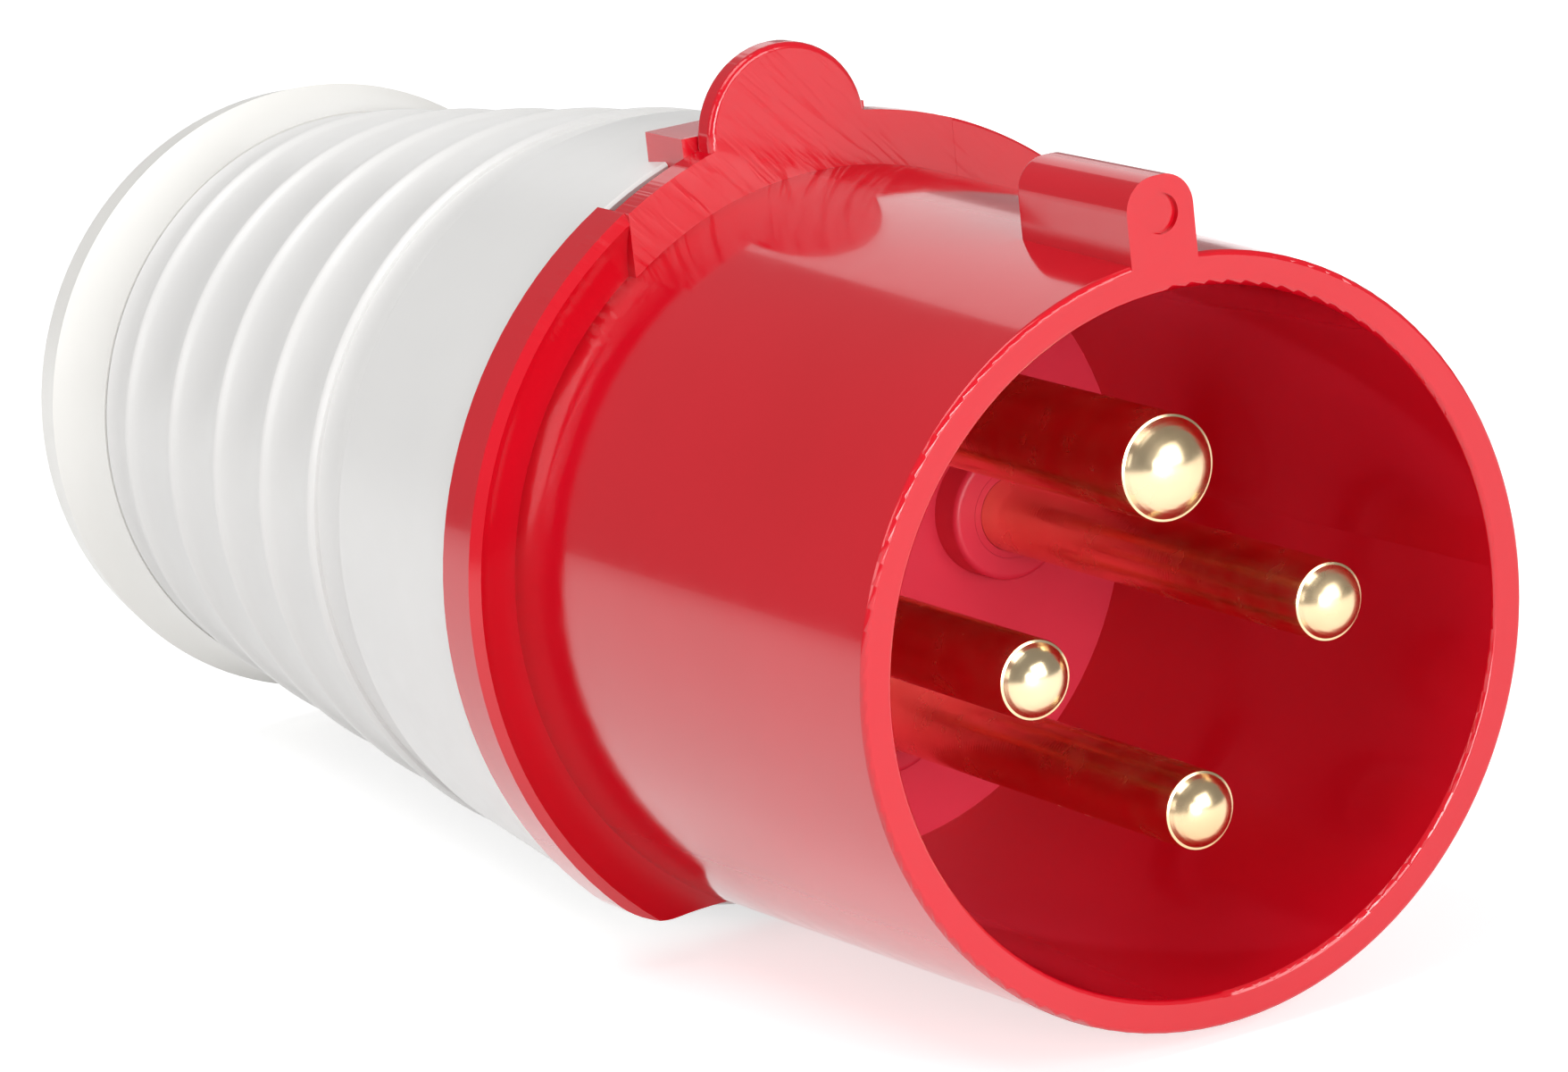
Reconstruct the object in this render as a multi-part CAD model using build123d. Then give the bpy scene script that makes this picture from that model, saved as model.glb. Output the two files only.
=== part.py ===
from build123d import *
from math import cos, radians, sin
import os

# Industrial plug, three phases and earth, 32 A size.
# Everything is first built upright on the Z axis, with the cable entry at height 0, the pins
# pointing up and the keyway towards +Y. The last step lays it on the flat under its body,
# so the pins point to -Y and the keyway is on top.

# Heights along the plug's axis, from the cable entry
length = 142.0              # cable entry face to the rim of the shroud
flange_front = 94.2         # front face of the flange
flange_thickness = 4.8
floor_height = 94.0         # face of the pin carrier, the floor of the shroud
skirt_end = 72.0            # rear end of the skirt inside the rear housing
terminal_end = 59.0         # rear end of the terminal barrels
ledge_height = 33.5         # ledge that carries the cord clamp
bulkhead_height = 19.0      # wall that stops the gland seal
neck_end = 3.6              # rear end of the threaded neck
nut_height = 11.3           # front end of the gland nut

# Front housing
rim_radius = 28.7
shroud_draft = 0.02         # growth of the outer radius for each mm away from the rim
mouth_radius = 26.2
bore_draft = 0.025          # loss of the inner radius for each mm away from the rim
rim_fillet = 0.4
flange_radius = 33.9
flange_edge = 0.7
flange_dish = 1.1           # how far the flange face is sunk beside the shroud
dish_middle_depth = 0.88    # the same halfway between the shroud and the lip
flange_flat = 26.0          # axis to the cut-off under the flange
flange_corner = 7.0
skirt_radius = 27.8
skirt_wall = 2.0

# Latch on top of the flange
latch_middle = -2.0
latch_width = 29.4
latch_low = 13.1            # where the plate starts above the axis
latch_thickness = 2.2
ear_radius = 7.0
ear_drop = 0.9              # its middle is this much inside the flange's edge
ear_edge = 0.5
hook_width = 16.4
hook_drop = 0.1             # its top is this much inside the flange's edge
hook_bottom = 29.6
hook_reach = 3.0            # how far the hook enters the rear housing

# Keyway rib on the shroud
key_width = 5.7
key_top = 34.7
key_length = 14.5
key_root = 27.6
key_round = 2.5
dimple_radius = 1.5
dimple_height = 31.9
dimple_depth = 0.4

# Contact pins
pin_circle = 12.9
phase_radius = 3.0
earth_radius = 4.0
phase_tip = 141.4
earth_tip = 141.9
collar_step = 1.5           # the barrel is this much thicker than the pin
collar_height = 80.0        # shoulder where the barrel meets the root
root_step = 0.5             # the root in the carrier is this much thicker than the pin
root_lead = 0.3             # how far the root's cone comes out of the boss
phase_wire_radius = 2.5
earth_wire_radius = 3.0
wire_depth = 12.0
barrel_chamfer = 0.4

# Terminal screws
screw_height = 65.0
phase_screw_radius = 2.0
earth_screw_radius = 2.5
screw_head_step = 0.8       # the head is this much wider than the thread
screw_head_height = 2.4
screw_bite = 1.5            # thread left proud inside the wire hole
slot_width = 0.9
slot_depth = 1.0

# Pin carrier
carrier_radius = 25.6
boss_step = 2.4
boss_height = 3.0
boss_fillet = 0.5
tower_wall = 1.6
post_radius = 5.0
retainer_thickness = 2.5
retainer_radius = 21.0
retainer_screw_radius = 1.7
retainer_screw_head = 3.2
retainer_screw_head_height = 2.2
retainer_screw_length = 10.0

# Rear housing
housing_mouth_radius = 33.4
housing_tail_radius = 25.2
tail_height = 11.5          # shoulder behind the gland nut
body_flat = 29.9            # axis to the flat that the plug lies on
first_rib = 17.0
rib_pitch = 10.75
rib_count = 5
flute_depth = 0.9
last_flute = 6.5
neck_radius = 20.6
neck_bore = 17.2
bulkhead_thickness = 3.0
bulkhead_hole = 13.0
tail_chamber = 22.0
ledge_radius = 25.1
mouth_bore_depth = 20.0

# Housing seal
seal_width = 1.0
seal_height = 2.6

# Gland
nut_rim_radius = 27.0
nut_rear_radius = 26.3
nut_rim_height = 4.4
nut_front_radius = 25.3
nut_flare = 0.5
nut_wall = 3.2
cable_radius = 12.0
nut_cone_radius = 15.2
nut_cone_start = 1.4
nut_round = 0.5
washer_thickness = 0.8
collet_height = 8.0         # front face of the collet ring
collet_ring = 2.0
collet_tip_height = 2.0
collet_radius = 11.6
collet_tip_wall = 1.2
collet_fingers = 10
collet_slot = 1.2
gland_seal_radius = 11.0
gland_seal_chamfer = 1.6

# Cord clamp
clamp_length = 11.0
clamp_channel = 10.5
clamp_base_top = -2.5
clamp_base_radius = 24.8
clamp_bar_gap = 5.0         # open space between the two halves for the cord
clamp_bar_half_width = 21.0
clamp_bar_top = 13.5
clamp_bar_edge = 1.0
clamp_screw_offset = 16.0
clamp_screw_radius = 1.75
clamp_head_radius = 3.3
clamp_head_height = 2.2
clamp_screw_end = -16.5
clamp_nut_flats = 6.0
clamp_nut_height = 2.6
clamp_nut_floor = -14.0

# Clearances
fit = 0.1                   # between rigid pieces that slide together
loose = 0.2                 # around the gland, the skirt and the clamp
thread_fit = 0.02

# Sizes worked out from the ones above
flange_rear = flange_front - flange_thickness
latch_rear = flange_front - latch_thickness
skirt_bore = skirt_radius - skirt_wall
housing_bore = skirt_radius + loose
seal_radius = housing_bore + seal_width
body_slope = (housing_mouth_radius - housing_tail_radius) / (flange_rear - tail_height)
retainer_rear = terminal_end - retainer_thickness
washer_height = collet_height + washer_thickness
phase_places = {"pin_l1": 180, "pin_l2": 270, "pin_l3": 0}
earth_place = 90


def shroud_radius(height):
    """Outer radius of the shroud at a height."""
    return rim_radius + shroud_draft * (length - height)


def mouth_at(height):
    """Inner radius of the shroud at a height."""
    return mouth_radius - bore_draft * (length - height)


def cone_radius(height):
    """Outer radius of the rear housing at a height, over the ribs."""
    return housing_tail_radius + body_slope * (height - tail_height)


def turned(*edges):
    """Turn a closed outline of radius and height about the axis."""
    return revolve(Plane.XZ * make_face(list(edges)), Axis.Z)


def ring(inner, outer, low, high):
    """Plain ring between two radii and two heights."""
    return turned(Polyline((inner, low), (outer, low), (outer, high), (inner, high), close=True))


def disc(radius, low, high, place=(0, 0)):
    """Round bar along the axis."""
    return Pos(place[0], place[1], low) * extrude(Circle(radius), high - low)


def block(x_low, x_high, y_low, y_high, low, high):
    """Box given by its limits."""
    middle = ((x_low + x_high) / 2, (y_low + y_high) / 2, (low + high) / 2)
    return Pos(*middle) * Box(x_high - x_low, y_high - y_low, high - low)


def on_circle(angle, radius=pin_circle):
    """Point on the pin circle."""
    return (radius * cos(radians(angle)), radius * sin(radians(angle)))


def flange():
    """Flange with its dished face, flat underside and cut-away for the latch."""
    root = shroud_radius(flange_front)
    lip = flange_radius - flange_edge
    dish_middle = ((root + lip) / 2, flange_front - dish_middle_depth)
    profile = turned(
        Polyline((mouth_radius, flange_rear), (flange_radius, flange_rear),
                 (flange_radius, flange_front - flange_edge), (lip, flange_front)),
        ThreePointArc((lip, flange_front), dish_middle, (root, flange_front - flange_dish)),
        Polyline((root, flange_front - flange_dish), (mouth_radius, flange_front - flange_dish),
                 (mouth_radius, flange_rear)))
    outline = Circle(flange_radius) & Pos(0, flange_radius - flange_flat) * Rectangle(
        2 * flange_radius, 2 * flange_radius)
    outline = fillet(outline.vertices(), flange_corner)
    profile &= Pos(0, 0, flange_rear) * extrude(outline, flange_thickness)
    half = latch_width / 2
    return profile - block(latch_middle - half, latch_middle + half, 0, flange_radius,
                           flange_rear, latch_rear)


def latch():
    """Springy plate on top of the flange, with its round ear and its hook."""
    half = latch_width / 2
    plate = ring(mouth_radius, flange_radius, latch_rear, flange_front)
    plate &= block(latch_middle - half, latch_middle + half, latch_low, flange_radius,
                   latch_rear, flange_front)
    body = plate + disc(ear_radius, latch_rear, flange_front, (latch_middle, flange_radius - ear_drop))
    body -= disc(mouth_radius, latch_rear, flange_front)
    hook = block(latch_middle - hook_width / 2, latch_middle + hook_width / 2,
                 hook_bottom, flange_radius - hook_drop, flange_rear - hook_reach, latch_rear)
    ear_rims = (body.edges().filter_by(GeomType.CIRCLE)
                .filter_by(lambda edge: abs(edge.radius - ear_radius) < fit))
    return fillet(ear_rims, ear_edge) + hook


def key():
    """Round-topped keyway rib with the ejector mark on its front face."""
    middle = (key_top + key_root) / 2
    section = Pos(0, middle) * Rectangle(key_width, key_top - key_root)
    section = fillet(section.vertices().group_by(Axis.Y)[-1], key_round)
    body = Pos(0, 0, length - key_length) * extrude(section, key_length)
    body = fillet(body.faces().sort_by(Axis.Z)[0].outer_wire().edges(), rim_fillet)
    return body - disc(dimple_radius, length - dimple_depth, length, (0, dimple_height))


def front_housing():
    """Shroud, keyway, flange, latch and skirt, moulded in one piece."""
    tube = turned(Polyline(
        (rim_radius, length), (shroud_radius(flange_rear), flange_rear),
        (skirt_radius, flange_rear), (skirt_radius, skirt_end), (skirt_bore, skirt_end),
        (skirt_bore, floor_height), (mouth_at(floor_height), floor_height),
        (mouth_radius, length), close=True))
    rims = tube.edges().filter_by(GeomType.CIRCLE).group_by(Axis.Z)[-1]
    tube = fillet(rims, rim_fillet)
    flange_ring = flange() - disc(shroud_radius(flange_rear) - fit, flange_rear, flange_front)
    latch_plate = latch() - disc(shroud_radius(flange_rear) - fit, flange_rear - hook_reach,
                                 flange_front)
    return tube + flange_ring + latch_plate + key()


def contact_pin(angle, radius, tip, wire_radius, screw_radius):
    """Round pin with a domed end, and a drilled barrel behind for the wire."""
    barrel = radius + collar_step
    root = radius + root_step
    root_end = floor_height + boss_height + root_lead
    straight = tip - radius
    dome = (radius * cos(radians(45)), straight + radius * sin(radians(45)))
    body = turned(
        Polyline((0, tip), (0, terminal_end), (barrel - barrel_chamfer, terminal_end),
                 (barrel, terminal_end + barrel_chamfer), (barrel, collar_height),
                 (root, collar_height), (root, root_end - root_step), (radius, root_end),
                 (radius, straight)),
        ThreePointArc((radius, straight), dome, (0, tip)))
    body -= disc(wire_radius, terminal_end, terminal_end + wire_depth)
    body -= Pos(0, 0, screw_height) * Rot(0, 90, 0) * disc(screw_radius, 0, barrel)
    x, y = on_circle(angle)
    return Pos(x, y, 0) * Rot(0, 0, angle) * body


def terminal_screw(angle, radius, screw_radius, wire_radius):
    """Slotted terminal screw, pointing at the axis through the wall of its tower."""
    barrel = radius + collar_step
    tip = wire_radius - screw_bite
    head_end = barrel + screw_head_height
    shank = disc(screw_radius - thread_fit, tip, barrel)
    head = disc(screw_radius + screw_head_step, barrel, head_end)
    slot = block(-barrel, barrel, -slot_width / 2, slot_width / 2, head_end - slot_depth, head_end)
    x, y = on_circle(angle)
    screw = Rot(0, 90, 0) * (shank + head - slot)
    return Pos(x, y, screw_height) * Rot(0, 0, angle) * screw


def carrier_seat(angle, radius):
    """Boss in front of the floor and tower behind it, for one pin."""
    place = on_circle(angle)
    boss = disc(radius + boss_step, floor_height, floor_height + boss_height, place)
    boss = fillet(boss.edges().group_by(Axis.Z)[-1], boss_fillet)
    return boss + disc(radius + collar_step + tower_wall, terminal_end, skirt_end, place)


def carrier_bore(angle, radius, screw_radius):
    """Stepped bore for one pin, and the side hole for its screw."""
    place = on_circle(angle)
    front = disc(radius + root_step + fit, terminal_end, floor_height + boss_height, place)
    pocket = disc(radius + collar_step + fit, terminal_end, collar_height, place)
    side = Rot(0, 90, 0) * disc(screw_radius + screw_head_step + fit, 0, carrier_radius)
    return front + pocket + Pos(place[0], place[1], screw_height) * Rot(0, 0, angle) * side


def pin_carrier():
    """Insulating insert that holds the four pins."""
    body = disc(carrier_radius, skirt_end, floor_height)
    body += disc(post_radius, terminal_end, skirt_end)
    for angle in phase_places.values():
        body += carrier_seat(angle, phase_radius)
    body += carrier_seat(earth_place, earth_radius)
    for angle in phase_places.values():
        body -= carrier_bore(angle, phase_radius, phase_screw_radius)
    body -= carrier_bore(earth_place, earth_radius, earth_screw_radius)
    return body - disc(retainer_screw_radius, terminal_end, terminal_end + retainer_screw_length)


def pin_retainer():
    """Plate that closes the towers and leaves a hole for each wire."""
    body = disc(retainer_radius, retainer_rear, terminal_end)
    for angle in phase_places.values():
        body -= disc(phase_wire_radius + loose, retainer_rear, terminal_end, on_circle(angle))
    body -= disc(earth_wire_radius + loose, retainer_rear, terminal_end, on_circle(earth_place))
    return body - disc(retainer_screw_radius + fit, retainer_rear, terminal_end)


def retainer_screw():
    """Slotted screw in the middle of the retainer."""
    head_end = retainer_rear - retainer_screw_head_height
    head = disc(retainer_screw_head, head_end, retainer_rear)
    head -= block(-retainer_screw_head, retainer_screw_head, -slot_width / 2, slot_width / 2,
                  head_end, head_end + slot_depth)
    end = terminal_end + retainer_screw_length - fit
    return head + disc(retainer_screw_radius - thread_fit, retainer_rear, end)


def housing_seal():
    """Rubber ring between the skirt and the mouth of the rear housing."""
    return ring(skirt_radius, seal_radius - thread_fit, flange_rear - seal_height, flange_rear)


def rear_housing():
    """Grip with its five ribs, the flat underneath and the threaded neck."""
    crests = [first_rib + rib_pitch * number for number in range(rib_count)]
    stations = [tail_height] + crests + [crests[-1] + last_flute]
    outer = []
    for low, high in zip(stations, stations[1:]):
        middle = (low + high) / 2
        outer.append(ThreePointArc((cone_radius(low), low),
                                   (cone_radius(middle) - flute_depth, middle),
                                   (cone_radius(high), high)))
    smooth = stations[-1]
    mouth_bore_end = flange_rear - mouth_bore_depth
    bulkhead_top = bulkhead_height + bulkhead_thickness
    shell = turned(
        Polyline((neck_bore, neck_end), (neck_radius, neck_end), (neck_radius, tail_height),
                 (housing_tail_radius, tail_height)),
        *outer,
        Polyline((cone_radius(smooth), smooth), (housing_mouth_radius, flange_rear),
                 (seal_radius, flange_rear), (seal_radius, flange_rear - seal_height),
                 (housing_bore, flange_rear - seal_height), (housing_bore, mouth_bore_end),
                 (ledge_radius, ledge_height), (tail_chamber, ledge_height),
                 (tail_chamber, bulkhead_top), (bulkhead_hole, bulkhead_top),
                 (bulkhead_hole, bulkhead_height), (neck_bore, bulkhead_height),
                 (neck_bore, neck_end)))
    reach = 2 * housing_mouth_radius
    shell -= block(-reach, reach, -reach, -body_flat, 0, length)
    half = hook_width / 2 + loose
    shell -= block(latch_middle - half, latch_middle + half, hook_bottom - loose, reach,
                   flange_rear - hook_reach - loose, flange_rear)
    return shell


def gland_nut():
    """Flared cap that screws on the neck and squeezes the gland."""
    wall_front = nut_wall + loose
    flare_middle = ((nut_rim_radius + nut_front_radius) / 2 - nut_flare,
                    (nut_rim_height + nut_height) / 2)
    return turned(
        Polyline((cable_radius, 0), (nut_rear_radius - nut_round, 0), (nut_rear_radius, nut_round),
                 (nut_rim_radius, nut_rim_height)),
        ThreePointArc((nut_rim_radius, nut_rim_height), flare_middle,
                      (nut_front_radius, nut_height)),
        Polyline((nut_front_radius, nut_height), (neck_radius + loose, nut_height),
                 (neck_radius + loose, wall_front), (nut_cone_radius, wall_front),
                 (cable_radius, nut_cone_start), (cable_radius, 0)))


def clamp_collet():
    """Slotted ring whose fingers grip the cable when the nut is tightened."""
    ring_low = collet_height - collet_ring
    outer = neck_bore - loose
    tip = collet_radius + collet_tip_wall
    body = turned(Polyline(
        (collet_radius, collet_tip_height), (tip, collet_tip_height),
        (tip + collet_tip_wall, ring_low), (outer, ring_low), (outer, collet_height),
        (collet_radius, collet_height), close=True))
    cutter = block(0, outer, -collet_slot / 2, collet_slot / 2, 0, ring_low)
    for number in range(collet_fingers):
        body -= Rot(0, 0, 360 / collet_fingers * number) * cutter
    return body


def gland_washer():
    """Slip ring between the collet and the rubber."""
    return ring(collet_radius, neck_bore - loose, collet_height, washer_height)


def gland_seal():
    """Rubber sleeve that closes on the cable."""
    outer = neck_bore - loose
    return turned(Polyline(
        (gland_seal_radius, washer_height), (outer, washer_height),
        (outer, bulkhead_height), (gland_seal_radius + gland_seal_chamfer, bulkhead_height),
        (gland_seal_radius, bulkhead_height - gland_seal_chamfer), close=True))


def clamp_base():
    """Lower half of the cord clamp, seated on the ledge of the rear housing."""
    top = ledge_height + clamp_length
    body = disc(clamp_base_radius, ledge_height, top)
    body &= block(-clamp_base_radius, clamp_base_radius, -clamp_base_radius, clamp_base_top,
                  ledge_height, top)
    body -= disc(clamp_channel, ledge_height, top)
    middle = ledge_height + clamp_length / 2
    for side in (-1, 1):
        x = side * clamp_screw_offset
        hole = Rot(90, 0, 0) * Cylinder(clamp_screw_radius + fit, 4 * clamp_base_radius)
        body -= Pos(x, 0, middle) * hole
        flats = clamp_nut_flats / 2 + fit
        body -= block(x - flats, x + flats, -clamp_base_radius, clamp_nut_floor,
                      middle - flats, middle + flats)
    return body


def clamp_bar():
    """Upper half of the cord clamp, held down by two screws."""
    low = clamp_base_top + clamp_bar_gap
    top = ledge_height + clamp_length
    body = block(-clamp_bar_half_width, clamp_bar_half_width, low, clamp_bar_top,
                 ledge_height, top)
    body = chamfer(body.edges().filter_by(Axis.Z), clamp_bar_edge)
    body -= disc(clamp_channel, ledge_height, top)
    middle = ledge_height + clamp_length / 2
    for side in (-1, 1):
        hole = Rot(90, 0, 0) * Cylinder(clamp_screw_radius + fit, 4 * clamp_base_radius)
        body -= Pos(side * clamp_screw_offset, 0, middle) * hole
    return body


def clamp_screws():
    """The two screws of the cord clamp."""
    middle = ledge_height + clamp_length / 2
    head_top = clamp_bar_top + clamp_head_height
    shank = disc(clamp_screw_radius - thread_fit, clamp_screw_end, clamp_bar_top)
    head = disc(clamp_head_radius, clamp_bar_top, head_top)
    slot = block(-clamp_head_radius, clamp_head_radius, -slot_width / 2, slot_width / 2,
                 head_top - slot_depth, head_top)
    screw = Rot(-90, 0, 0) * (shank + head - slot)
    return [Pos(side * clamp_screw_offset, 0, middle) * screw for side in (-1, 1)]


def clamp_nuts():
    """The two square nuts in the base of the cord clamp."""
    middle = ledge_height + clamp_length / 2
    half = clamp_nut_flats / 2
    hole = Rot(90, 0, 0) * Cylinder(clamp_screw_radius, 4 * clamp_base_radius)
    nuts = []
    for side in (-1, 1):
        x = side * clamp_screw_offset
        nut = block(x - half, x + half, clamp_nut_floor - clamp_nut_height, clamp_nut_floor,
                    middle - half, middle + half)
        nuts.append(nut - Pos(x, 0, middle) * hole)
    return nuts


nodes = {
    "front_housing": front_housing(),
    "pin_carrier": pin_carrier(),
    "earth_pin": contact_pin(earth_place, earth_radius, earth_tip, earth_wire_radius,
                             earth_screw_radius),
    "earth_terminal_screw": terminal_screw(earth_place, earth_radius, earth_screw_radius,
                                           earth_wire_radius),
    "phase_terminal_screws": [terminal_screw(angle, phase_radius, phase_screw_radius,
                                             phase_wire_radius)
                              for angle in phase_places.values()],
    "pin_retainer": pin_retainer(),
    "retainer_screw": retainer_screw(),
    "housing_seal": housing_seal(),
    "rear_housing": rear_housing(),
    "gland_nut": gland_nut(),
    "clamp_collet": clamp_collet(),
    "gland_washer": gland_washer(),
    "gland_seal": gland_seal(),
    "cord_clamp_base": clamp_base(),
    "cord_clamp_bar": clamp_bar(),
    "clamp_screws": clamp_screws(),
    "clamp_nuts": clamp_nuts(),
}
for name, angle in phase_places.items():
    nodes[name] = contact_pin(angle, phase_radius, phase_tip, phase_wire_radius,
                              phase_screw_radius)

# Lay the plug down, pins to -Y and keyway up, and write one file for each piece
os.makedirs("parts", exist_ok=True)
lay_down = Rot(90, 0, 0)
for name, shape in nodes.items():
    pieces = shape if isinstance(shape, list) else [shape]
    laid = [lay_down * piece for piece in pieces]
    result = laid[0] if len(laid) == 1 else Compound(children=laid)
    export_step(result, f"parts/{name}.step")
    print(name, len(laid), "piece(s)")
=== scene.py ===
import math
import bpy
from mathutils import Matrix, Vector


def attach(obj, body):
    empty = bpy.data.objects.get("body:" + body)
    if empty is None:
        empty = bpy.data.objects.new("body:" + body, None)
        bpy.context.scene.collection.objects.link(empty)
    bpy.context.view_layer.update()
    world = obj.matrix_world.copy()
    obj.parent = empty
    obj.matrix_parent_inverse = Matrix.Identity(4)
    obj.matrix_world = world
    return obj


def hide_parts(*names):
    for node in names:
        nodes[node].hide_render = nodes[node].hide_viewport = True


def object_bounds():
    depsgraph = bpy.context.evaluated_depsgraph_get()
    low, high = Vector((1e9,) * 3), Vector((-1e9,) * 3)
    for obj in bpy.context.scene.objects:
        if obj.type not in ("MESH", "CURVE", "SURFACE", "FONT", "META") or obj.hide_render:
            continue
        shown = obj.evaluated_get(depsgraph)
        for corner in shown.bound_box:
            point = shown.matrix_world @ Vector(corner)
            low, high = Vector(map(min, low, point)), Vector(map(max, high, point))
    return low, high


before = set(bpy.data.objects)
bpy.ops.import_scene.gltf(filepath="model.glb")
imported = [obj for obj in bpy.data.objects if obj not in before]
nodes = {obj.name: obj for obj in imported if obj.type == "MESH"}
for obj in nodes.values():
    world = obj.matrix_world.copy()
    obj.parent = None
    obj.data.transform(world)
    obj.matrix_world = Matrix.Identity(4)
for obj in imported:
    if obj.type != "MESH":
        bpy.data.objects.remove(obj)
cadLow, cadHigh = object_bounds()
print("frame loaded,", len(nodes), "nodes")

scene = bpy.context.scene
scene.view_settings.view_transform = "Standard"


# Small helpers for materials

def newMaterial(name):
    # a material with its Principled shader and node list
    mat = bpy.data.materials.new(name)
    mat.use_nodes = True
    tree = mat.node_tree
    return mat, tree, tree.nodes["Principled BSDF"]


def addNode(tree, kind, **values):
    # one shader node, with its options and the values of its sockets
    node = tree.nodes.new(kind)
    for key, value in values.items():
        if key in node.inputs:
            node.inputs[key].default_value = value
        else:
            setattr(node, key, value)
    return node


def objectPoints(tree):
    # object coordinates, in metres from the cable entry
    return addNode(tree, "ShaderNodeTexCoord").outputs["Object"]


def noise(tree, points, scale, detail):
    # noise factor on the given points
    node = addNode(tree, "ShaderNodeTexNoise")
    node.inputs["Scale"].default_value = scale
    node.inputs["Detail"].default_value = detail
    tree.links.new(points, node.inputs["Vector"])
    return node.outputs["Fac"]


def spread(tree, factor, low, high, fromLow=0.3, fromHigh=0.7):
    # the factor brought to another range; noise seldom leaves 0.3 to 0.7
    node = addNode(tree, "ShaderNodeMapRange")
    node.inputs["From Min"].default_value = fromLow
    node.inputs["From Max"].default_value = fromHigh
    node.inputs["To Min"].default_value = low
    node.inputs["To Max"].default_value = high
    tree.links.new(factor, node.inputs["Value"])
    return node.outputs["Result"]


def mixColours(tree, factor, first, second):
    # blend of two colours
    node = addNode(tree, "ShaderNodeMix", data_type="RGBA")
    node.inputs[6].default_value = (*first, 1)
    node.inputs[7].default_value = (*second, 1)
    tree.links.new(factor, node.inputs[0])
    return node.outputs[2]


def bump(tree, shader, height, strength, distance):
    # bump on the shader's normal, over any bump that is there already
    node = addNode(tree, "ShaderNodeBump")
    node.inputs["Strength"].default_value = strength
    node.inputs["Distance"].default_value = distance
    tree.links.new(height, node.inputs["Height"])
    for link in list(shader.inputs["Normal"].links):
        tree.links.new(link.from_socket, node.inputs["Normal"])
    tree.links.new(node.outputs["Normal"], shader.inputs["Normal"])


# Plastics

plastics = {
    "redShell": dict(colour=(0.62, 0.004, 0.016), deep=(0.56, 0.003, 0.011), rough=(0.10, 0.16),
                     wave=0.5, waveSize=55, grain=0.02, sheen=0.35),
    "redInsert": dict(colour=(0.74, 0.035, 0.075), deep=(0.68, 0.026, 0.060), rough=(0.34, 0.42),
                      wave=0.2, waveSize=80, grain=0.05, sheen=0.0),
    "greyShell": dict(colour=(0.82, 0.81, 0.795), deep=(0.78, 0.772, 0.76), rough=(0.30, 0.38),
                      wave=0.2, waveSize=60, grain=0.05, sheen=0.0),
    "creamShell": dict(colour=(0.90, 0.885, 0.85), deep=(0.87, 0.855, 0.82), rough=(0.30, 0.38),
                       wave=0.2, waveSize=60, grain=0.05, sheen=0.0),
    "darkClamp": dict(colour=(0.045, 0.045, 0.050), deep=(0.03, 0.03, 0.034), rough=(0.42, 0.55),
                      wave=0.2, waveSize=90, grain=0.08, sheen=0.0),
}


mould = dict(ior=1.47, coatRough=0.06, driftShare=0.6, driftDetail=3, glossShare=8, glossDetail=4,
             waveDetail=1, grainSize=4200, grainDetail=2, bumpStrength=0.25, bumpDepth=0.0004)


def plasticMaterial(name):
    # moulded plastic: faint colour drift, slow waves in the gloss and a fine grain
    p = {**mould, **plastics[name]}
    mat, tree, shader = newMaterial(name)
    points = objectPoints(tree)
    drift = noise(tree, points, p["waveSize"] * p["driftShare"], p["driftDetail"])
    tree.links.new(mixColours(tree, spread(tree, drift, 0, 1), p["colour"], p["deep"]),
                   shader.inputs["Base Color"])
    gloss = noise(tree, points, p["waveSize"] * p["glossShare"], p["glossDetail"])
    tree.links.new(spread(tree, gloss, *p["rough"]), shader.inputs["Roughness"])
    shader.inputs["IOR"].default_value = p["ior"]
    shader.inputs["Coat Weight"].default_value = p["sheen"]
    shader.inputs["Coat Roughness"].default_value = p["coatRough"]
    wave = addNode(tree, "ShaderNodeMath", operation="MULTIPLY_ADD")
    tree.links.new(noise(tree, points, p["waveSize"], p["waveDetail"]), wave.inputs[0])
    wave.inputs[1].default_value = p["wave"]
    fine = addNode(tree, "ShaderNodeMath", operation="MULTIPLY")
    tree.links.new(noise(tree, points, p["grainSize"], p["grainDetail"]), fine.inputs[0])
    fine.inputs[1].default_value = p["grain"]
    tree.links.new(fine.outputs[0], wave.inputs[2])
    bump(tree, shader, wave.outputs[0], p["bumpStrength"], p["bumpDepth"])
    return mat


# Metals and rubber

metals = {
    "contactBrass": dict(colour=(0.94, 0.76, 0.49), deep=(0.82, 0.58, 0.32), rough=(0.17, 0.30),
                         rings=900, ringDepth=0.03),
    "zincSteel": dict(colour=(0.66, 0.66, 0.68), deep=(0.50, 0.50, 0.52), rough=(0.22, 0.34),
                      rings=600, ringDepth=0.05),
}


turning = dict(cloudSize=110, cloudDetail=3, glossSize=300, glossDetail=3, wander=0.6,
               bumpDepth=0.0001)


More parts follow.
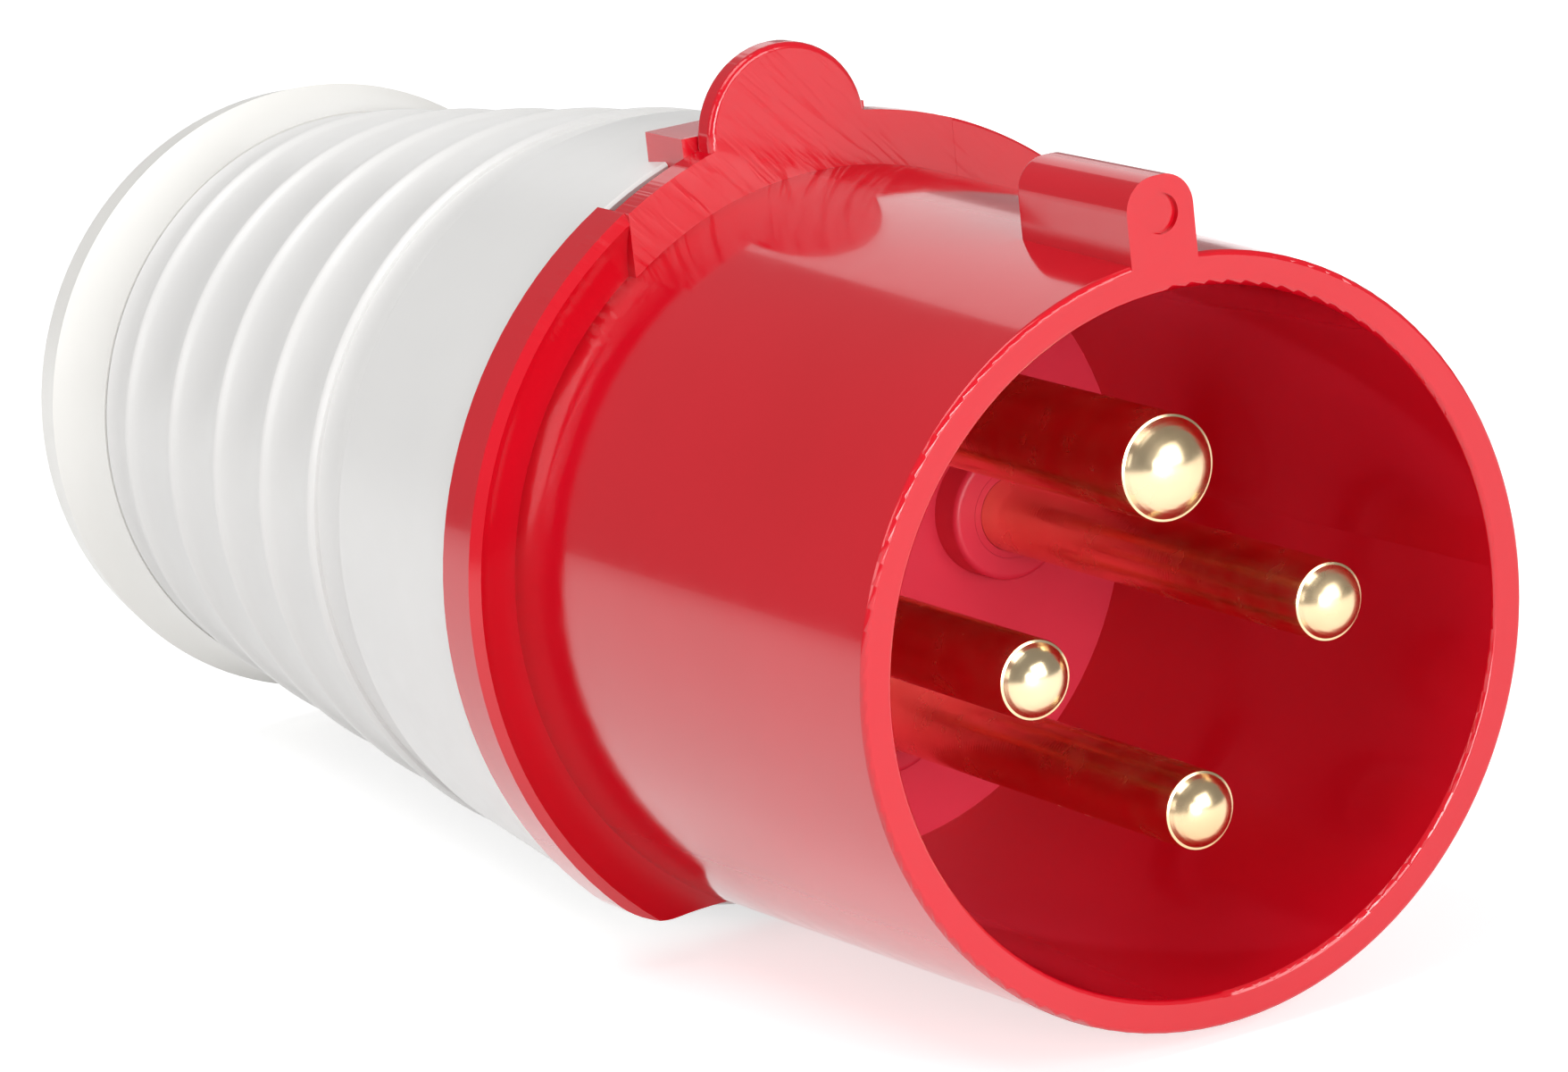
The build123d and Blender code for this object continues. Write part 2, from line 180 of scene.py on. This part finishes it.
def metalMaterial(name):
    # turned metal: fine rings across the plug's axis and a cloudy gloss
    p = {**turning, **metals[name]}
    mat, tree, shader = newMaterial(name)
    points = objectPoints(tree)
    cloud = noise(tree, points, p["cloudSize"], p["cloudDetail"])
    tree.links.new(mixColours(tree, spread(tree, cloud, 0, 1), p["colour"], p["deep"]),
                   shader.inputs["Base Color"])
    gloss = noise(tree, points, p["glossSize"], p["glossDetail"])
    tree.links.new(spread(tree, gloss, *p["rough"]), shader.inputs["Roughness"])
    shader.inputs["Metallic"].default_value = 1.0
    rings = addNode(tree, "ShaderNodeTexWave", wave_type="BANDS", bands_direction="Y")
    rings.inputs["Scale"].default_value = p["rings"]
    rings.inputs["Distortion"].default_value = p["wander"]
    tree.links.new(points, rings.inputs["Vector"])
    bump(tree, shader, rings.outputs["Fac"], p["ringDepth"], p["bumpDepth"])
    return mat


rubber = dict(colour=(0.016, 0.016, 0.017), deep=(0.028, 0.028, 0.029), rough=(0.55, 0.75),
              cloudSize=300, glossSize=900, detail=4, grainSize=2600, grainDetail=3,
              bumpStrength=0.3, bumpDepth=0.0002)


def rubberMaterial():
    # dull black rubber
    p = rubber
    mat, tree, shader = newMaterial("blackRubber")
    points = objectPoints(tree)
    cloud = spread(tree, noise(tree, points, p["cloudSize"], p["detail"]), 0, 1)
    tree.links.new(mixColours(tree, cloud, p["colour"], p["deep"]), shader.inputs["Base Color"])
    gloss = noise(tree, points, p["glossSize"], p["detail"])
    tree.links.new(spread(tree, gloss, *p["rough"]), shader.inputs["Roughness"])
    bump(tree, shader, noise(tree, points, p["grainSize"], p["grainDetail"]),
         p["bumpStrength"], p["bumpDepth"])
    return mat


flowMarks = dict(turn=42, across=520, along=60, detail=3, fade=0.46, level=0.66, strength=0.22,
                 depth=0.0003, lowZ=0.021, frontY=-0.0946, rearY=-0.0915)


def addFlowMarks(mat):
    # slanting creases in the gloss on the latch plate and its ear
    p = flowMarks
    tree = mat.node_tree
    shader = tree.nodes["Principled BSDF"]
    where = addNode(tree, "ShaderNodeTexCoord")
    turned = addNode(tree, "ShaderNodeMapping")
    turned.inputs["Rotation"].default_value = (0, math.radians(p["turn"]), 0)
    tree.links.new(where.outputs["Object"], turned.inputs["Vector"])
    drawn = addNode(tree, "ShaderNodeMapping")
    drawn.inputs["Scale"].default_value = (p["across"], 1, p["along"])
    tree.links.new(turned.outputs["Vector"], drawn.inputs["Vector"])
    creases = spread(tree, noise(tree, drawn.outputs["Vector"], 1.0, p["detail"]), 0, 1,
                     p["fade"], p["level"])
    parts = addNode(tree, "ShaderNodeSeparateXYZ")
    tree.links.new(where.outputs["Object"], parts.inputs["Vector"])
    marks = creases
    for axis, limit, operation in (("Z", p["lowZ"], "GREATER_THAN"),
                                   ("Y", p["frontY"], "GREATER_THAN"),
                                   ("Y", p["rearY"], "LESS_THAN")):
        test = addNode(tree, "ShaderNodeMath", operation=operation)
        tree.links.new(parts.outputs[axis], test.inputs[0])
        test.inputs[1].default_value = limit
        product = addNode(tree, "ShaderNodeMath", operation="MULTIPLY")
        tree.links.new(test.outputs[0], product.inputs[0])
        tree.links.new(marks, product.inputs[1])
        marks = product.outputs[0]
    bump(tree, shader, marks, p["strength"], p["depth"])


materials = {name: plasticMaterial(name) for name in plastics}
addFlowMarks(materials["redShell"])
materials.update({name: metalMaterial(name) for name in metals})
materials["blackRubber"] = rubberMaterial()
print("materials made")

finishes = {
    "redShell": ["front_housing"],
    "redInsert": ["pin_carrier", "pin_retainer"],
    "greyShell": ["rear_housing", "clamp_collet"],
    "creamShell": ["gland_nut"],
    "darkClamp": ["cord_clamp_base", "cord_clamp_bar", "gland_washer"],
    "contactBrass": ["earth_pin", "pin_l1", "pin_l2", "pin_l3"],
    "zincSteel": ["earth_terminal_screw", "phase_terminal_screws", "retainer_screw",
                  "clamp_screws", "clamp_nuts"],
    "blackRubber": ["gland_seal", "housing_seal"],
}
for finish, names in finishes.items():
    for name in names:
        nodes[name].data.materials.clear()
        nodes[name].data.materials.append(materials[finish])
print("finishes given to the nodes")


# Pieces turned about the plug's axis

weldGap = 0.000001
cutGap = 0.0000001


def metres(*sizes):
    # sizes in mm as metres
    return tuple(size / 1000 for size in sizes)


def turnedPiece(name, rings, sides, x, z, material):
    # a circle extruded from ring to ring, given as radius and height in mm, and welded shut
    radius, height = rings[0]
    bpy.ops.object.select_all(action="DESELECT")
    bpy.ops.mesh.primitive_circle_add(vertices=sides, radius=radius / 1000,
                                      location=metres(x, -height, z),
                                      rotation=(math.pi / 2, 0, 0))
    piece = bpy.context.object
    piece.name = name
    bpy.ops.object.transform_apply(location=True, rotation=True, scale=True)
    bpy.ops.object.mode_set(mode="EDIT")
    bpy.ops.mesh.select_all(action="SELECT")
    for nextRadius, nextHeight in rings[1:]:
        bpy.ops.mesh.extrude_region_move(
            TRANSFORM_OT_translate={"value": metres(0, height - nextHeight, 0)})
        if nextRadius != radius:
            grow = nextRadius / radius
            bpy.ops.transform.resize(value=(grow, 1, grow),
                                     center_override=metres(x, -nextHeight, z))
        radius, height = nextRadius, nextHeight
    bpy.ops.mesh.select_all(action="SELECT")
    bpy.ops.mesh.remove_doubles(threshold=weldGap)
    bpy.ops.mesh.select_all(action="DESELECT")
    bpy.ops.mesh.select_non_manifold()
    bpy.ops.mesh.edge_face_add()
    bpy.ops.mesh.select_all(action="SELECT")
    bpy.ops.mesh.normals_make_consistent(inside=False)
    piece.data.materials.append(materials[material])
    return piece


def cutAway(place, normal):
    # cut off what lies past a plane, with the open side closed, in edit mode
    bpy.ops.mesh.select_all(action="SELECT")
    bpy.ops.mesh.bisect(plane_co=place, plane_no=normal, use_fill=True, clear_outer=True,
                        threshold=cutGap)


def finishPiece(piece, smoothAngle):
    # leave edit mode, smooth the soft edges and fix the piece to the body
    bpy.ops.object.mode_set(mode="OBJECT")
    bpy.ops.object.shade_smooth_by_angle(angle=math.radians(smoothAngle))
    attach(piece, "root")
    print(piece.name, "made,", len(piece.data.polygons), "faces")


# The grip, modelled again with its underside eased off behind the flange

gripValues = dict(
    sides=160, tailHeight=11.5, tailRadius=25.2, mouthHeight=89.4, mouthRadius=33.4,
    firstRib=17.0, ribPitch=10.75, ribCount=5, lastFlute=6.5, fluteDepth=0.9, fluteSteps=8,
    fluteShape=0.8, mouthEdge=((-0.06, -0.3), (-0.30, 0.0)), smooth=22,
    crest=((-0.75, -0.12), (-0.50, 0.10), (-0.22, 0.24), (0.0, 0.28), (0.22, 0.24), (0.50, 0.10),
           (0.75, -0.12)),
    # radius and height of the inside, from the mouth back to the neck
    inside=((28.1, 89.4), (28.1, 69.4), (25.2, 33.5), (22.0, 33.5), (22.0, 22.0), (13.0, 22.0),
            (13.0, 19.05), (17.2, 19.05), (17.2, 3.6), (20.6, 3.6), (20.6, 11.5), (25.2, 11.5)),
    # cuts under the body: angle, offset at the low height, low height, offset at the mouth
    cuts=((0, 29.9, 0.0, 29.9), (0, 29.9, 79.5, 28.15), (14, 31.9, 79.5, 29.6),
          (-14, 31.9, 79.5, 29.6), (26, 32.6, 79.5, 31.7), (-26, 32.6, 79.5, 31.7)),
)


def gripProfile():
    # radius and height of each ring of the outside, from the tail to the mouth
    p = gripValues
    slope = (p["mouthRadius"] - p["tailRadius"]) / (p["mouthHeight"] - p["tailHeight"])

    def cone(height):
        return p["tailRadius"] + slope * (height - p["tailHeight"])

    crests = [p["firstRib"] + p["ribPitch"] * number for number in range(p["ribCount"])]
    marks = [p["tailHeight"]] + crests + [crests[-1] + p["lastFlute"]]
    rings = []
    for low, high in zip(marks, marks[1:]):
        for step in range(p["fluteSteps"]):
            share = step / p["fluteSteps"]
            height = low + (high - low) * share
            if step == 0 and low != marks[0]:
                rings += [(cone(low + along) + rise, low + along) for along, rise in p["crest"]]
                continue
            sink = p["fluteDepth"] * math.sin(math.pi * share) ** p["fluteShape"]
            rings.append((cone(height) - sink, height))
    rings.append((cone(marks[-1]), marks[-1]))
    rings += [(p["mouthRadius"] + out, p["mouthHeight"] + along) for out, along in p["mouthEdge"]]
    return rings + list(p["inside"])


def makeGrip():
    # the grip with its ribs, its hollow and the cuts underneath
    p = gripValues
    grip = turnedPiece("grip", gripProfile(), p["sides"], 0, 0, "greyShell")
    for angle, lowOffset, lowHeight, mouthOffset in p["cuts"]:
        turn = math.radians(angle)
        slope = (mouthOffset - lowOffset) / (p["mouthHeight"] - lowHeight)
        normal = Vector((-math.sin(turn), slope, -math.cos(turn)))
        reach, = metres((lowOffset - slope * lowHeight) / normal.length_squared)
        cutAway(normal * reach, normal)
    finishPiece(grip, p["smooth"])
    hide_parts("rear_housing")


makeGrip()


# The pins, with the low domes that the photo shows

pinValues = dict(
    sides=64, circle=12.9, wireTop=71.0, barrelLow=59.0, barrelEdge=0.4, barrelStep=1.5,
    barrelTop=80.0, rootStep=0.5, rootTop=95.4, edge=0.25, edgeIn=0.3, edgeUp=0.7, domeSteps=10,
    smooth=30,
    # name: x, z, radius, tip, dome height, radius of the wire hole
    pins={"earth_pin": (0.0, 12.9, 4.0, 141.9, 2.1, 3.0),
          "pin_l1": (-12.9, 0.0, 3.0, 141.4, 1.6, 2.5),
          "pin_l2": (0.0, -12.9, 3.0, 141.4, 1.6, 2.5),
          "pin_l3": (12.9, 0.0, 3.0, 141.4, 1.6, 2.5)},
    sleeveGap=0.02, sleeveStep=0.58, sleeveLow=95.5, sleeveTop=97.02,
)


def pinProfile(radius, tip, dome, wire):
    # from the bottom of the wire hole, back round the barrel and up to the tip
    p = pinValues
    barrel = radius + p["barrelStep"]
    root = radius + p["rootStep"]
    base = radius - p["edge"]
    ball = (base ** 2 + dome ** 2) / (2 * dome)
    widest = math.asin(base / ball)
    straight = tip - dome - p["edge"]
    rings = [(wire, p["wireTop"]), (wire, p["barrelLow"]),
             (barrel - p["barrelEdge"], p["barrelLow"]),
             (barrel, p["barrelLow"] + p["barrelEdge"]), (barrel, p["barrelTop"]),
             (root, p["barrelTop"]), (root, p["rootTop"]), (radius, p["rootTop"]),
             (radius, straight),
             (radius - p["edgeIn"] * p["edge"], straight + p["edgeUp"] * p["edge"])]
    for step in range(p["domeSteps"] + 1):
        angle = widest * (1 - step / p["domeSteps"])
        rings.append((ball * math.sin(angle), tip - ball + ball * math.cos(angle)))
    return rings


def makePins():
    # each pin, and the end of the carrier's boss that closes on it
    p = pinValues
    for name, (x, z, radius, tip, dome, wire) in p["pins"].items():
        pin = turnedPiece(name + "_domed", pinProfile(radius, tip, dome, wire), p["sides"],
                          x, z, "contactBrass")
        finishPiece(pin, p["smooth"])
        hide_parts(name)
        inner, outer = radius + p["sleeveGap"], radius + p["sleeveStep"]
        low, top = p["sleeveLow"], p["sleeveTop"]
        sleeve = turnedPiece(name + "_sleeve", [(inner, low), (outer, low), (outer, top),
                                                (inner, top), (inner, low)], p["sides"],
                             x, z, "redInsert")
        finishPiece(sleeve, p["smooth"])


makePins()


# The latch plate's far end, which runs on over the flange

plateValues = dict(sides=256, inner=28.2, outer=33.92, low=92.6, front=94.22, edge=0.2,
                   left=12.65, right=24.0, bottom=14.2, smooth=30)


def makePlateEnd():
    # a flat ring, cut down to the stretch beside the latch
    p = plateValues
    rings = [(p["inner"], p["low"]), (p["outer"], p["low"]), (p["outer"], p["front"] - p["edge"]),
             (p["outer"] - p["edge"], p["front"]), (p["inner"], p["front"]),
             (p["inner"], p["low"])]
    plate = turnedPiece("latch_plate_end", rings, p["sides"], 0, 0, "redShell")
    cutAway(metres(p["left"], 0, 0), (-1, 0, 0))
    cutAway(metres(p["right"], 0, 0), (1, 0, 0))
    cutAway(metres(0, 0, p["bottom"]), (0, 0, -1))
    finishPiece(plate, p["smooth"])


makePlateEnd()


# Floor and light

stageValues = dict(
    floorSize=6.0, floorLift=-0.00002,
    floorColour=(0.80, 0.80, 0.80), floorRough=0.9, floorGlow=0.62,
    worldLight=0.29, worldColour=(1.0, 1.0, 1.0),
)


def makeFloor():
    # a plain pale floor that the camera sees as white, with the shadow kept
    bpy.ops.mesh.primitive_plane_add(size=stageValues["floorSize"],
                                     location=(0, 0, cadLow.z + stageValues["floorLift"]))
    floor = bpy.context.object
    floor.name = "floor"
    mat, tree, shader = newMaterial("paleFloor")
    shader.inputs["Base Color"].default_value = (*stageValues["floorColour"], 1)
    shader.inputs["Roughness"].default_value = stageValues["floorRough"]
    path = addNode(tree, "ShaderNodeLightPath")
    seen = addNode(tree, "ShaderNodeMath", operation="MAXIMUM")
    tree.links.new(path.outputs["Is Camera Ray"], seen.inputs[0])
    tree.links.new(path.outputs["Is Glossy Ray"], seen.inputs[1])
    through = addNode(tree, "ShaderNodeMath", operation="MAXIMUM")
    tree.links.new(seen.outputs[0], through.inputs[0])
    tree.links.new(path.outputs["Is Transmission Ray"], through.inputs[1])
    glow = addNode(tree, "ShaderNodeMath", operation="MULTIPLY")
    tree.links.new(through.outputs[0], glow.inputs[0])
    glow.inputs[1].default_value = stageValues["floorGlow"]
    shader.inputs["Emission Color"].default_value = (1, 1, 1, 1)
    tree.links.new(glow.outputs[0], shader.inputs["Emission Strength"])
    floor.data.materials.append(mat)


def makeWorld():
    # even grey light, white where the camera looks at it
    world = bpy.data.worlds.new("studio")
    scene.world = world
    world.use_nodes = True
    tree = world.node_tree
    background = tree.nodes["Background"]
    background.inputs["Color"].default_value = (*stageValues["worldColour"], 1)
    path = addNode(tree, "ShaderNodeLightPath")
    level = addNode(tree, "ShaderNodeMapRange")
    level.inputs["To Min"].default_value = stageValues["worldLight"]
    level.inputs["To Max"].default_value = 1.0
    tree.links.new(path.outputs["Is Camera Ray"], level.inputs["Value"])
    tree.links.new(level.outputs["Result"], background.inputs["Strength"])


lamps = {
    # name: place, aim, width, height, watts
    "topBox": dict(place=(-0.30, -0.10, 0.80), aim=(0, -0.07, 0), width=0.6, height=0.5,
                   watts=3.4),
    "leftBox": dict(place=(-0.95, -0.15, 0.35), aim=(0, -0.07, 0), width=0.5, height=0.4,
                    watts=1.9),
    "frontBox": dict(place=(0.20, -1.00, 0.35), aim=(0, -0.1, 0), width=0.6, height=0.5,
                     watts=4.7),
    "backBox": dict(place=(0.48, 0.80, 0.52), aim=(0, -0.1, 0), width=0.62, height=0.6,
                    watts=0.95),
    "mouthBox": dict(place=(-0.16, -0.85, 0.10), aim=(0, -0.1, 0), width=0.25, height=0.25,
                     watts=2.4),
}


def makeLamps():
    # soft rectangular lamps, each aimed at the plug
    for name, p in lamps.items():
        data = bpy.data.lights.new(name, "AREA")
        data.shape = "RECTANGLE"
        data.size = p["width"]
        data.size_y = p["height"]
        data.energy = p["watts"]
        lamp = bpy.data.objects.new(name, data)
        lamp.location = p["place"]
        towards = Vector(p["aim"]) - Vector(p["place"])
        lamp.rotation_euler = towards.to_track_quat("-Z", "Y").to_euler()
        scene.collection.objects.link(lamp)


makeFloor()
makeWorld()
makeLamps()
print("floor, world and lamps set")


# Camera

cameraValues = dict(
    place=(-0.26127, -0.54406, 0.13022),
    right=(0.85273, -0.51131, -0.10686),
    forward=(0.4741, 0.84347, -0.25257),
    lens=157.82, sensor=36.0, shiftX=0.009, shiftY=0.0547, nearest=0.01, furthest=20.0,
)


def makeCamera():
    # the photograph's camera, from its place and the directions of its frame
    data = bpy.data.cameras.new("camera")
    data.sensor_width = cameraValues["sensor"]
    data.lens = cameraValues["lens"]
    data.shift_x = cameraValues["shiftX"]
    data.shift_y = cameraValues["shiftY"]
    data.clip_start = cameraValues["nearest"]
    data.clip_end = cameraValues["furthest"]
    camera = bpy.data.objects.new("camera", data)
    right = Vector(cameraValues["right"]).normalized()
    back = -Vector(cameraValues["forward"]).normalized()
    up = back.cross(right).normalized()
    turn = Matrix((right, up, back)).transposed().to_4x4()
    camera.matrix_world = Matrix.Translation(Vector(cameraValues["place"])) @ turn
    scene.collection.objects.link(camera)
    scene.camera = camera


makeCamera()
print("camera set")
